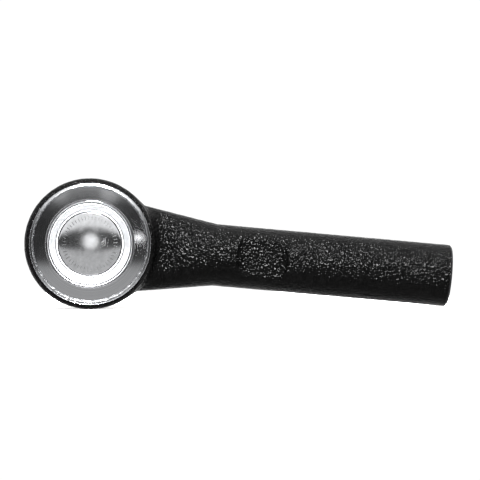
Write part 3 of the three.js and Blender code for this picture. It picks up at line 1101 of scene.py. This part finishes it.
@dataclass
class Cap(SubAssembly):
    """The cover plate with its pressed strokes, and the seal and disc spring behind it.

    Attributes:
        disc: Where the disc's middle lies along the axis, in millimetres.
        disc_radius: The disc's radius.
        dome_radius: Radius of the dome at the disc's middle.
        dome_roll: How much more the dome falls away towards its edge, per cubic millimetre.
        stroke_lift: How far behind the disc's face the strokes' middles lie.
    """

    disc: float = -14.8
    disc_radius: float = 9.9
    dome_radius: float = 640.0
    dome_roll: float = 9e-6
    stroke_lift: float = 0.08

    def dome(self, r: float) -> float:
        """Where the disc's slightly domed face lies at a radius."""
        return self.disc + r ** 2 / (2 * self.dome_radius) + self.dome_roll * r ** 4

    def cover(self) -> Object:
        """The plate: domed disc, beads, conical wall and turned flange."""
        # Finish 3, groove, is painted shade: a dark colour on the plate's creases and bends
        disc, wall, ring, groove = 0, 1, 2, 3
        edge = self.dome(self.disc_radius)
        domed = [Corner(r, self.dome(r), 0, disc) for r in np.linspace(0.5, 9.5, 19)]
        mesh = turned("cover_plate", [
            Corner(0, self.disc, 0, disc), *domed, Corner(self.disc_radius, edge, 0.1, groove),
            Corner(10.08, edge + 0.22, 0.1, groove), Corner(10.3, edge - 0.02, 0.15, wall),
            Corner(10.65, edge - 0.04, 0.1, groove), Corner(10.8, edge + 0.07, 0.1, groove),
            Corner(10.95, edge - 0.06, 0.1, wall, 3), Corner(12.75, -16.4, 0.1, groove),
            Corner(12.95, -16.2, 0.1, groove), Corner(13.2, -16.6, 0.1, wall),
            Corner(13.32, -16.96, 0.12, ring), Corner(13.65, -17.0, 0.12, groove),
            Corner(13.8, -16.75, 0.1, groove), Corner(13.98, -16.92, 0.05, ring, 20),
            Corner(18.2, -16.92, 0.1, ring), Corner(18.4, -16.7, 0.1, ring),
            Corner(18.4, -15.2, 0.2, wall), Corner(14.3, -15.2, 0.6, wall),
            Corner(11.5, -13.0, 0.8, wall), Corner(0, -13.0, 0, wall),
        ], 256)
        return placed("cover_plate_pressing", mesh,
                      [PRESSED_STEEL.material(), PRESSED_WALL.material(), TURNED_STEEL.material(),
                       PAINTED_CREASE_SHADE.material()])

    def build(self) -> None:
        """Makes the plate, its strokes, the seal and the spring."""
        self.hand_over(self.cover(), Body.HOUSING, Slot.COVER, "cover_plate")
        strokes = StrokeRing(level=BALL_Y + self.dome(StrokeRing.radius) + self.stroke_lift)
        piece = placed("cover_strokes", strokes.mesh("cover_strokes", PRESSED_STEEL.material()))
        self.hand_over(piece, Body.HOUSING, Slot.COVER)
        seal = turned("seal", [Corner(17, -14.9, 0.25), Corner(17, -14.1, 0.25), Corner(18.4, -14.1, 0.25),
                               Corner(18.4, -14.9, 0.25)], 128)
        piece = placed("cover_seal_ring", seal, [SEAL_RUBBER.material()])
        self.hand_over(piece, Body.HOUSING, Slot.SEAL, "cover_gasket")
        spring = turned("spring", [Corner(7.5, -12.7, 0.2), Corner(7.5, -11.8, 0.2), Corner(15, -10.9, 0.2),
                                   Corner(15, -11.8, 0.2)], 128)
        piece = placed("preload_disc_spring", spring, [OILED_STEEL.material()])
        self.hand_over(piece, Body.HOUSING, Slot.SPRING, "preload_spring")


def sphere_corners(radius: float, first: float, last: float, count: int) -> list[Corner]:
    """Corners along a sphere round the ball's centre, between two angles from +Y in radians."""
    return [Corner(radius * math.sin(a), radius * math.cos(a)) for a in np.linspace(first, last, count)]


@dataclass
class Seats(SubAssembly):
    """The two moulded seats that hold the ball.

    Attributes:
        socket: Radius of the socket, in millimetres.
        outer: Radius of the seats' outside.
    """

    socket: float = 13.3
    outer: float = 16.0

    def socket_corners(self, top: float, foot: float, count: int) -> list[Corner]:
        """Corners along the spherical socket between two levels."""
        first, last = math.acos(top / self.socket), math.acos(foot / self.socket)
        return sphere_corners(self.socket, first, last, count)

    def build(self) -> None:
        """Makes both seats."""
        upper = [Corner(self.outer, -0.6, 0.3), Corner(self.outer, -10.6, 0.5),
                 *self.socket_corners(-10.6, -0.6, 24)]
        lower = [Corner(12.1, 6.9, 0.1), Corner(12.75, 6.9, 0.2), Corner(self.outer, 1.8, 0.6),
                 Corner(self.outer, -0.3, 0.3), *self.socket_corners(-0.3, 6.45, 18)]
        for name, node, corners in (("upper_seat_moulding", "upper_ball_seat", upper),
                                    ("lower_seat_moulding", "lower_ball_seat", lower)):
            piece = placed(name, turned(name, corners, 128), [ACETAL.material()])
            self.hand_over(piece, Body.HOUSING, Slot.SEAT, node)


@dataclass
class WireRing:
    """A round wire wound into a ring of two turns, made by geometry nodes.

    Attributes:
        radius: Radius of the ring at the wire's middle, in millimetres.
        level: Where along the stud's axis the ring's middle lies.
        wire: The wire's radius.
        pitch: Distance between its two turns.
        turns: Number of turns.
    """

    radius: float
    level: float
    wire: float
    pitch: float
    turns: float = 2.04

    def mesh(self, name: str, finish: Material) -> Mesh:
        """The wound wire as a plain mesh.

        Args:
            name: The mesh's name.
            finish: The wire's material.

        Returns:
            The mesh.
        """
        rise = self.pitch * self.turns
        group = Grower("wire_ring", {
            "Ring Radius": self.radius * MM, "Wire Radius": self.wire * MM, "Rise": rise * MM,
            "Level": (self.level - rise / 2 + BALL_Y) * MM, "Turns": self.turns})
        given = group.given
        helix = group.add("GeometryNodeCurveSpiral", {
            "Resolution": 120, "Rotations": given["Turns"], "Start Radius": given["Ring Radius"],
            "End Radius": given["Ring Radius"], "Height": given["Rise"]})
        section = group.add("GeometryNodeCurvePrimitiveCircle",
                            {"Resolution": 14, "Radius": given["Wire Radius"]}, mode="RADIUS")
        wire = group.add("GeometryNodeCurveToMesh", {
            "Curve": helix.outputs[0], "Profile Curve": section.outputs[0], "Fill Caps": True})
        return with_faces_out(group.mesh(name, wire.outputs[0], -math.pi / 2, finish))


@dataclass
class Boot(SubAssembly):
    """The rubber dust boot and the two wire rings that hold it.

    The boot crosses two hinges, so it is moulded as two shells that meet at its waist.

    Attributes:
        waist: Where the shells meet, in millimetres above the ball's centre.
        grip_end: Up to where the lower shell stays with the housing; it is not used.
        fold_end: From where it moves with the waist; it is not used.
        lip_start: From where the upper shell moves with the lip on the stud; it is not used.
    """

    waist: float = 17.95
    grip_end: float = 12.4
    fold_end: float = 17.6
    lip_start: float = 21.0

    def lower_corners(self) -> list[Corner]:
        """The shell from the housing's groove to the waist."""
        return [
            Corner(16.7, 10.9, 0.3), Corner(18.7, 10.9, 0.2), Corner(18.55, 11.15, 0.15),
            Corner(18.55, 12.15, 0.2), Corner(19.3, 12.6, 0.5), Corner(20.2, 14.0, 1.2, steps=2),
            Corner(20.15, 15.3, 1.4, steps=2), Corner(19.4, 16.5, 1.0, steps=2),
            Corner(18.0, 17.1, 0.8, steps=2), Corner(17.0, 17.4, 0.4), Corner(16.3, self.waist, 0.2),
            Corner(15.5, 17.3, 0.2), Corner(15.7, 16.9, 0.2), Corner(16.6, 16.35, 0.5, steps=2),
            Corner(17.9, 15.7, 0.6, steps=2), Corner(18.6, 14.95, 0.4),
            Corner(18.6, 14.4, 0.4), Corner(17.6, 13.8, 0.3), Corner(17.6, 12.4, 0.1),
            Corner(16.7, 12.2, 0.2),
        ]

    def upper_corners(self) -> list[Corner]:
        """The shell from the waist to the lip on the stud."""
        return [
            Corner(15.3, 17.5, 0.2), Corner(16.3, self.waist, 0.15), Corner(15.9, 19.2, 0.6),
            Corner(14.6, 20.4, 0.8), Corner(12.6, 21.2, 0.8), Corner(10.8, 21.7, 0.5),
            Corner(9.1, 22.0, 0.3),
            Corner(8.7, 22.4, 0.3), Corner(8.7, 23.85, 0.2), Corner(9.4, 24.05, 0.15),
            Corner(9.4, 24.7, 0.25), Corner(8.5, 24.7, 0.1), Corner(7.9, 24.45, 0.1), Corner(7.6, 24.0, 0.1),
            Corner(7.6, 20.9, 0.3), Corner(10.2, 20.5, 0.6), Corner(12.4, 20.0, 0.8),
            Corner(13.9, 19.1, 0.6), Corner(14.9, 18.2, 0.4),
        ]

    def build(self) -> None:
        """Moulds both shells and winds both rings."""
        rubber, wire = BOOT_RUBBER.material(), OILED_STEEL.material()
        lower = placed("boot_lower_shell", turned("boot_lower_shell", self.lower_corners(), 160), [rubber])
        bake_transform(lower)
        self.declare(lower, Slot.BOOT, "dust_boot")
        upper = placed("boot_upper_shell", turned("boot_upper_shell", self.upper_corners(), 160), [rubber])
        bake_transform(upper)
        self.declare(upper, Slot.BOOT, "dust_boot")
        big = WireRing(radius=18.84, level=11.65, wire=0.25, pitch=0.5)
        piece = placed("boot_clamp_ring", big.mesh("boot_clamp_ring", wire))
        self.hand_over(piece, Body.HOUSING, Slot.SPRING, "boot_housing_ring")
        small = WireRing(radius=9.0, level=23.1, wire=0.3, pitch=0.6)
        piece = placed("boot_lip_ring", small.mesh("boot_lip_ring", wire))
        self.hand_over(piece, Body.COLLAR, Slot.SPRING, "boot_stud_ring")


@dataclass
class Stud(SubAssembly):
    """The ball stud, its castle nut and its cotter pin.

    Levels are millimetres above the ball's centre.

    Attributes:
        ball: The ball's radius.
        neck: The neck's radius.
        land: Radius of the land that the boot's lip runs on.
        taper_start: Level of the taper's wide end.
        taper_end: Level of its narrow end.
        taper_end_radius: Its radius there.
        end: Level of the stud's end.
        nut_seat: Level of the nut's seat.
        nut_crown: Level where the nut's slotted crown starts.
        nut_top: Level of the nut's top.
        across_flats: The nut's width across its flats.
        slot_width: Width of its slots.
        pin: Level of the cotter pin.
        pin_hole: Radius of the pin's hole.
        pin_radius: Radius of the folded pin.
    """

    ball: float = 13.0
    neck: float = 6.5
    land: float = 7.3
    taper_start: float = 24.5
    taper_end: float = 40.5
    taper_end_radius: float = 6.3
    end: float = 57.0
    nut_seat: float = 41.5
    nut_crown: float = 49.5
    nut_top: float = 54.5
    across_flats: float = 18.0
    slot_width: float = 3.2
    pin: float = 51.5
    pin_hole: float = 1.6
    pin_radius: float = 1.25

    def stud(self) -> Object:
        """The stud, turned and threaded, with its pin hole drilled."""
        ball = sphere_corners(self.ball, math.acos(-10.4 / self.ball), math.asin(self.neck / self.ball), 40)
        relief = self.taper_end + 0.5
        thread = Thread(1.25, -0.76, relief + 1.2, self.end - 1.0, 6.0)
        corners = [
            Corner(0, -9.6), Corner(1.5, -9.6, 0.2), Corner(2.2, -10.4, 0.2), *ball,
            Corner(self.neck, 18.5, 3.0), Corner(self.land, 21.6, 0.6),
            Corner(self.land, self.taper_start, 0.4), Corner(self.taper_end_radius, self.taper_end, 0.4),
            Corner(5.2, relief, 0.4), Corner(5.2, relief + 0.9, 0.4),
            Corner(6.0, relief + 1.7, 0, steps=160), Corner(6.0, self.end - 0.9, 0.2),
            Corner(5.2, self.end, 0.3), Corner(1.6, self.end, 0.2), Corner(1.1, self.end - 0.6, 0.2),
            Corner(0, self.end - 0.9),
        ]
        steel = GROUND_STEEL.material()
        piece = placed("ball_stud_forging", turned("stud", corners, 112, Axis.STUD, thread), [steel], 40)
        hole = turned("hole", [Corner(0, -9), Corner(self.pin_hole, -9), Corner(self.pin_hole, 9),
                               Corner(0, 9)], 40, Axis.SHANK)
        hole.transform(Matrix.Translation((0, self.pin * MM, 0)))
        return cut(piece, hole, [steel], sharp_degrees=40)

    def nut(self) -> Object:
        """The castle nut: a hexagon chamfered by turning, bored, and slotted six times."""
        apothem = self.across_flats / 2
        corner = apothem / math.cos(math.radians(30))
        crown = apothem - 0.6
        zinc = ZINC_PLATE.material()
        piece = placed("castle_nut_body", turned("nut", [
            Corner(0, self.nut_seat), Corner(apothem - 0.3, self.nut_seat, 0.2),
            Corner(apothem - 0.1, self.nut_seat + 0.2, 0.1),
            Corner(corner + 0.05, self.nut_seat + 0.95, 0.1),
            Corner(corner + 0.05, self.nut_crown - 1.5, 0.1),
            Corner(apothem - 0.2, self.nut_crown - 0.75, 0.2),
            Corner(crown, self.nut_crown - 0.6, 0.3), Corner(crown, self.nut_top - 0.1, 0.5),
            Corner(6.6, self.nut_top, 0.1), Corner(0, self.nut_top),
        ], 192), [zinc])
        turns = [math.radians(a) for a in range(0, 360, 60)]
        prism = np.array([[[corner * math.sin(a), s + BALL_Y, corner * math.cos(a)] for a in turns]
                          for s in (self.nut_seat - 1, self.nut_top + 1)])
        piece = cut(piece, skin("prism", prism, np.zeros(2, int), False), [zinc], "INTERSECT")
        bore = turned("bore", [
            Corner(0, self.nut_seat - 2), Corner(7.2, self.nut_seat - 2), Corner(7.2, self.nut_seat),
            Corner(5.85, self.nut_seat + 0.9), Corner(5.85, self.nut_top - 0.8), Corner(6.9, self.nut_top),
            Corner(6.9, self.nut_top + 2), Corner(0, self.nut_top + 2)], 96)
        piece = cut(piece, bore, [zinc])
        for turn in range(3):
            piece = cut(piece, self.slot_tool(turn * math.pi / 3), [zinc])
        return piece

    def slot_tool(self, angle: float) -> Mesh:
        """A round-bottomed slot cutter that runs right across the nut at an angle about the stud."""
        half = self.slot_width / 2
        centre = self.nut_crown + half
        arc = [(half * math.cos(a), centre - half * math.sin(a)) for a in np.linspace(0, math.pi, 13)]
        outline = [(half, self.nut_top + 3), *arc, (-half, self.nut_top + 3)]
        points = np.array([[[x, s + BALL_Y, z] for z, s in outline] for x in (-20, 20)], float)
        mesh = skin("slot", points, np.zeros(2, int), False)
        mesh.transform(Matrix.Rotation(angle, 4, "Y"))
        return mesh

    def cotter(self) -> Object:
        """The pin: a half-round wire folded at its eye, with its two legs bent apart."""
        gap, eye, eye_x, shank_x, bend_x = 0.02, 1.45, -12.4, -10.2, 10.3
        loop = [(eye_x + eye * math.cos(a), eye * math.sin(a))
                for a in np.linspace(math.radians(38), math.radians(322), 30)]
        straight = np.linspace(bend_x - 2, shank_x, 10)
        upper = [(bend_x + 1.6, 5.35), (bend_x + 1.5, 3.0), (bend_x + 1.1, 1.3), (bend_x, gap)]
        lower = [(bend_x, -gap), (bend_x + 1.1, -1.3), (bend_x + 1.5, -3.0), (bend_x + 1.7, -6.2)]
        knots = np.array(upper + [(x, gap) for x in straight] + loop + [(x, -gap) for x in straight[::-1]]
                         + lower, float)
        knots[:, 1] += self.pin + BALL_Y
        angles = np.linspace(-math.pi / 2, math.pi / 2, 12)
        half_round = np.stack((-self.pin_radius * np.cos(angles), self.pin_radius * np.sin(angles)), axis=1)
        mesh = swept("pin", smooth_path(knots, 220), half_round)
        return placed("cotter_pin_wire", mesh, [ZINC_PLATE.material()], 50)

    def build(self) -> None:
        """Makes the stud, nut and pin."""
        self.hand_over(self.stud(), Body.STUD, Slot.STUD, "ball_stud")
        self.hand_over(self.nut(), Body.STUD, Slot.ZINC, "castle_nut")
        self.hand_over(self.cotter(), Body.STUD, Slot.ZINC, "cotter_pin")


def smooth_path(knots: np.ndarray, count: int) -> np.ndarray:
    """Evenly spaced points on a smoothed line through knots.

    Args:
        knots: Points shaped (n, 2).
        count: Number of points wanted.

    Returns:
        Points shaped (count, 2).
    """
    for _ in range(3):
        cuts = np.empty((2 * len(knots) - 2, 2))
        cuts[0::2] = 0.75 * knots[:-1] + 0.25 * knots[1:]
        cuts[1::2] = 0.25 * knots[:-1] + 0.75 * knots[1:]
        knots = np.vstack((knots[:1], cuts, knots[-1:]))
    step = np.linalg.norm(np.diff(knots, axis=0), axis=1)
    along = np.concatenate(([0.0], np.cumsum(step)))
    wanted = np.linspace(0, along[-1], count)
    return np.stack([np.interp(wanted, along, knots[:, i]) for i in (0, 1)], axis=1)


# Studio ------------------------------------------------------------------------------------------


def tilted_axes(angle: float) -> tuple[Vector, Vector, Vector]:
    """The right, forward and up directions of a room that the shank slopes down in by an angle."""
    return (Vector((math.cos(angle), 0, math.sin(angle))), Vector((0, 1, 0)),
            Vector((-math.sin(angle), 0, math.cos(angle))))


def turned_to(forward: Vector, up: Vector) -> Matrix:
    """A rotation that makes -Z look forward with +Y up."""
    right = forward.cross(up).normalized()
    return Matrix((right, right.cross(forward), -forward)).transposed().to_4x4()


# Brightness up the card behind the camera, foot to top. The flat flange and the domed disc mirror it:
# mid grey below, a dark band level with the camera and white above
CARD_SHADES = ((0.0, 0.56), (0.457, 0.56), (0.463, 0.04), (0.56, 0.04), (0.57, 0.18), (0.59, 0.4),
               (0.603, 1.0), (1.0, 1.2))
# Dark felt at both sides of the room: name, place, the place it faces away from, and width and height.
# Places in these tables are millimetres right, forward and up
FELTS = (("dark_left_card", (-900, -945, 0), (-900, -1970, 0), (1300, 800)),
         ("dark_right_card", (900, -945, 0), (900, -1970, 0), (1300, 800)),
         ("far_left_card", (-1500, -550, 0), (-3000, -550, 0), (900, 2000)),
         ("far_right_card", (1500, -550, 0), (3000, -550, 0), (900, 2000)))
FELT_SHADES = ((0.0, 0.035), (1.0, 0.035))
# Small lamps by the camera: name, millimetres right and up, radius, and brightness in a mirror
BULBS = (("flange_glint", 41, 2.5, 1.5, 13.0), ("left_glow", -10, 31, 6, 0.5),
         ("right_glow", 23, 31, 6, 0.5), ("disc_glow", 12, 4, 13, 1.6))
# Soft boxes that look at the part's middle: name, place, side in millimetres, and watts
SOFT_BOXES = (("key_lamp", (60, -620, 480), 165, 56.0), ("top_box", (40, 100, 900), 900, 4.0))
PART_MIDDLE = (45, 10, 0)


@dataclass
class Studio:
    """The pale floor, the soft lamps and the camera.

    Attributes:
        slope: Degrees that the shank slopes down to the right in the camera's view.
        distance: From the camera to the plane of the head's face, in millimetres.
        focal: The lens, in millimetres, on a 36 mm sensor.
        aside: How far left of the stud's axis the camera stands, in millimetres.
        aim: How far right of the stud's axis it looks, in millimetres.
        height: How far above the stud's axis it stands, in millimetres.
        card_gap: How far behind the camera the big card hangs, in millimetres.
        floor_reach: How far the floor runs to the left, forward and back, in millimetres.
        floor_end: How far it runs to the right, where it would rise into a low view from that side.
        floor_gap: How far under the head it lies, in millimetres.
        floor_glow: The floor's own light, which keeps it white under the part's soft shadow.
        surround: The surround's brightness.
    """

    slope: float = 5.1
    distance: float = 985.0
    focal: float = 232.2
    aside: float = 10.0
    aim: float = 47.8
    height: float = 1.2
    card_gap: float = 20.0
    floor_reach: float = 320.0
    floor_end: float = 140.0
    floor_gap: float = 0.02
    floor_glow: float = 0.7
    surround: float = 1.05

    def at(self, right: float, forward: float, up: float) -> Vector:
        """A place in the part's frame, in metres, from the room's millimetres."""
        a, b, c = tilted_axes(math.radians(self.slope))
        return (a * right + b * forward + c * up) * MM

    def up(self) -> Vector:
        """The room's up direction."""
        return tilted_axes(math.radians(self.slope))[2]

    def put(self, name: str, data: Any, place: Vector, aim: Vector) -> Object:
        """Stands a camera, lamp or card at a place, looking at another.

        Args:
            name: The object's name.
            data: Its camera, light or mesh.
            place: Where it stands.
            aim: What its -Z looks at.

        Returns:
            The object.
        """
        thing = bpy.data.objects.new(name, data)
        bpy.context.collection.objects.link(thing)
        thing.matrix_world = Matrix.Translation(place) @ turned_to((aim - place).normalized(), self.up())
        return thing

    def make_camera(self) -> None:
        """Stands the camera in front of the cap, level with it."""
        data = bpy.data.cameras.new("camera")
        data.lens = self.focal
        data.sensor_width = 36.0
        data.clip_start, data.clip_end = 0.01, 20.0
        place, aim = self.at(-self.aside, -self.distance, self.height), self.at(self.aim, 0, self.height)
        bpy.context.scene.camera = self.put("camera", data, place, aim)

    def card(self, name: str, place: Vector, aim: Vector, size: tuple[float, float],
             shades: Sequence[tuple[float, float]]) -> None:
        """A glowing card that only reflections see.

        Args:
            name: The card's name.
            place: Its middle, in metres.
            aim: The point that its back faces away from.
            size: Its width and height, in millimetres.
            shades: Its brightness from its foot to its top: places from 0 to 1, and values.
        """
        mesh = bpy.data.meshes.new(name)
        w, h = size[0] * MM / 2, size[1] * MM / 2
        mesh.from_pydata([(-w, -h, 0), (w, -h, 0), (w, h, 0), (-w, h, 0)], [], [(0, 1, 2, 3)])
        layer = mesh.uv_layers.new(name="card")
        layer.data.foreach_set("uv", np.array([0, 0, 1, 0, 1, 1, 0, 1], np.float32))
        made = empty_material(name)
        tree = made.node_tree
        place_on_card = add_node(tree, "ShaderNodeUVMap", uv_map="card")
        split = add_node(tree, "ShaderNodeSeparateXYZ", {0: place_on_card.outputs[0]})
        peak = max(value for _, value in shades)
        shade = ramp(tree, split.outputs["Y"], [(at, grey(value / peak)) for at, value in shades])
        glow = add_node(tree, "ShaderNodeEmission", {"Color": shade, "Strength": peak})
        add_node(tree, "ShaderNodeOutputMaterial", {"Surface": glow.outputs[0]})
        mesh.materials.append(made)
        card = self.put(name, mesh, place, aim)
        card.visible_camera = card.visible_diffuse = card.visible_shadow = False

    def lamp(self, name: str, place: Vector, aim: Vector, size: float, power: float) -> None:
        """A square soft box.

        Args:
            name: The lamp's name.
            place: Where it hangs, in metres.
            aim: The point that it faces.
            size: Its side, in millimetres.
            power: Its power in watts.
        """
        data = bpy.data.lights.new(name, "AREA")
        data.size = size * MM
        data.energy = power
        self.put(name, data, place, aim)

    def bulb(self, name: str, place: Vector, radius: float, radiance: float) -> None:
        """A small round lamp.

        Args:
            name: The lamp's name.
            place: Where it hangs, in metres.
            radius: Its radius, in millimetres.
            radiance: Its brightness as a mirror shows it.
        """
        data = bpy.data.lights.new(name, "POINT")
        data.shadow_soft_size = radius * MM
        data.energy = radiance * (2 * math.pi * radius * MM) ** 2
        self.put(name, data, place, place + Vector((0, 1, 0)))

    def make_floor(self) -> None:
        """Lays the floor under the head's side and the shank's end."""
        lean = math.asin((HEAD_RADIUS - Housing.barrel) / SHANK_END)
        right, forward, up = tilted_axes(lean)
        reach, end, level = self.floor_reach, self.floor_end, -HEAD_RADIUS - self.floor_gap
        corners = [(right * x + forward * y + up * level) * MM
                   for x, y in ((-reach, -reach), (end, -reach), (end, reach), (-reach, reach))]
        mesh = bpy.data.meshes.new("floor")
        mesh.from_pydata([tuple(c) for c in corners], [], [(0, 1, 2, 3)])
        made = bpy.data.materials.new("white_paper_floor")
        made.use_nodes = True
        set_inputs(made.node_tree, made.node_tree.nodes["Principled BSDF"], {
            "Base Color": linear("F7F7F6"), "Roughness": 0.9,
            "Emission Color": linear("FFFFFF"), "Emission Strength": self.floor_glow})
        mesh.materials.append(made)
        floor = bpy.data.objects.new("floor", mesh)
        bpy.context.collection.objects.link(floor)
        floor.visible_glossy = False

    def make_world(self) -> None:
        """A white surround, dimmer well below the floor."""
        world = bpy.data.worlds.new("surround")
        bpy.context.scene.world = world
        world.use_nodes = True
        tree = world.node_tree
        tree.nodes.clear()
        place = add_node(tree, "ShaderNodeTexCoord")
        rise = add_node(tree, "ShaderNodeVectorMath", {0: place.outputs["Generated"], 1: tuple(self.up())},
                        operation="DOT_PRODUCT")
        level = add_node(tree, "ShaderNodeMapRange", {"Value": rise.outputs["Value"], "From Min": -1.0,
                                                      "From Max": 1.0})
        shade = ramp(tree, level.outputs[0], [(0.0, grey(0.5)), (0.25, grey(0.6)), (0.35, grey(1.0)),
                                              (1.0, grey(1.0))])
        glow = add_node(tree, "ShaderNodeBackground", {"Color": shade, "Strength": self.surround})
        add_node(tree, "ShaderNodeOutputWorld", {"Surface": glow.outputs[0]})

    def build(self) -> None:
        """Sets up the whole studio."""
        self.make_camera()
        self.make_floor()
        self.make_world()
        self.card("camera_card", self.at(-self.aside, -self.distance - self.card_gap, self.height),
                  self.at(-self.aside, -2 * self.distance, self.height), (1600, 400), CARD_SHADES)
        for name, place, aim, size in FELTS:
            self.card(name, self.at(*place), self.at(*aim), size, FELT_SHADES)
        for name, right, up, radius, radiance in BULBS:
            self.bulb(name, self.at(right, -self.distance - self.card_gap + 1, up), radius, radiance)
        for name, place, side, power in SOFT_BOXES:
            self.lamp(name, self.at(*place), self.at(*PART_MIDDLE), side, power)
        bpy.context.scene.view_settings.view_transform = "Standard"


def main() -> None:
    """Builds the studio and every sub-assembly in order."""
    logging.basicConfig(level=logging.INFO, format="%(name)s %(message)s")
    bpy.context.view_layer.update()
    Studio().build()
    for assembly in (Housing(), Cap(), Seats(), Boot(), Stud()):
        assembly.build()


if __name__ == "__main__":
    main()
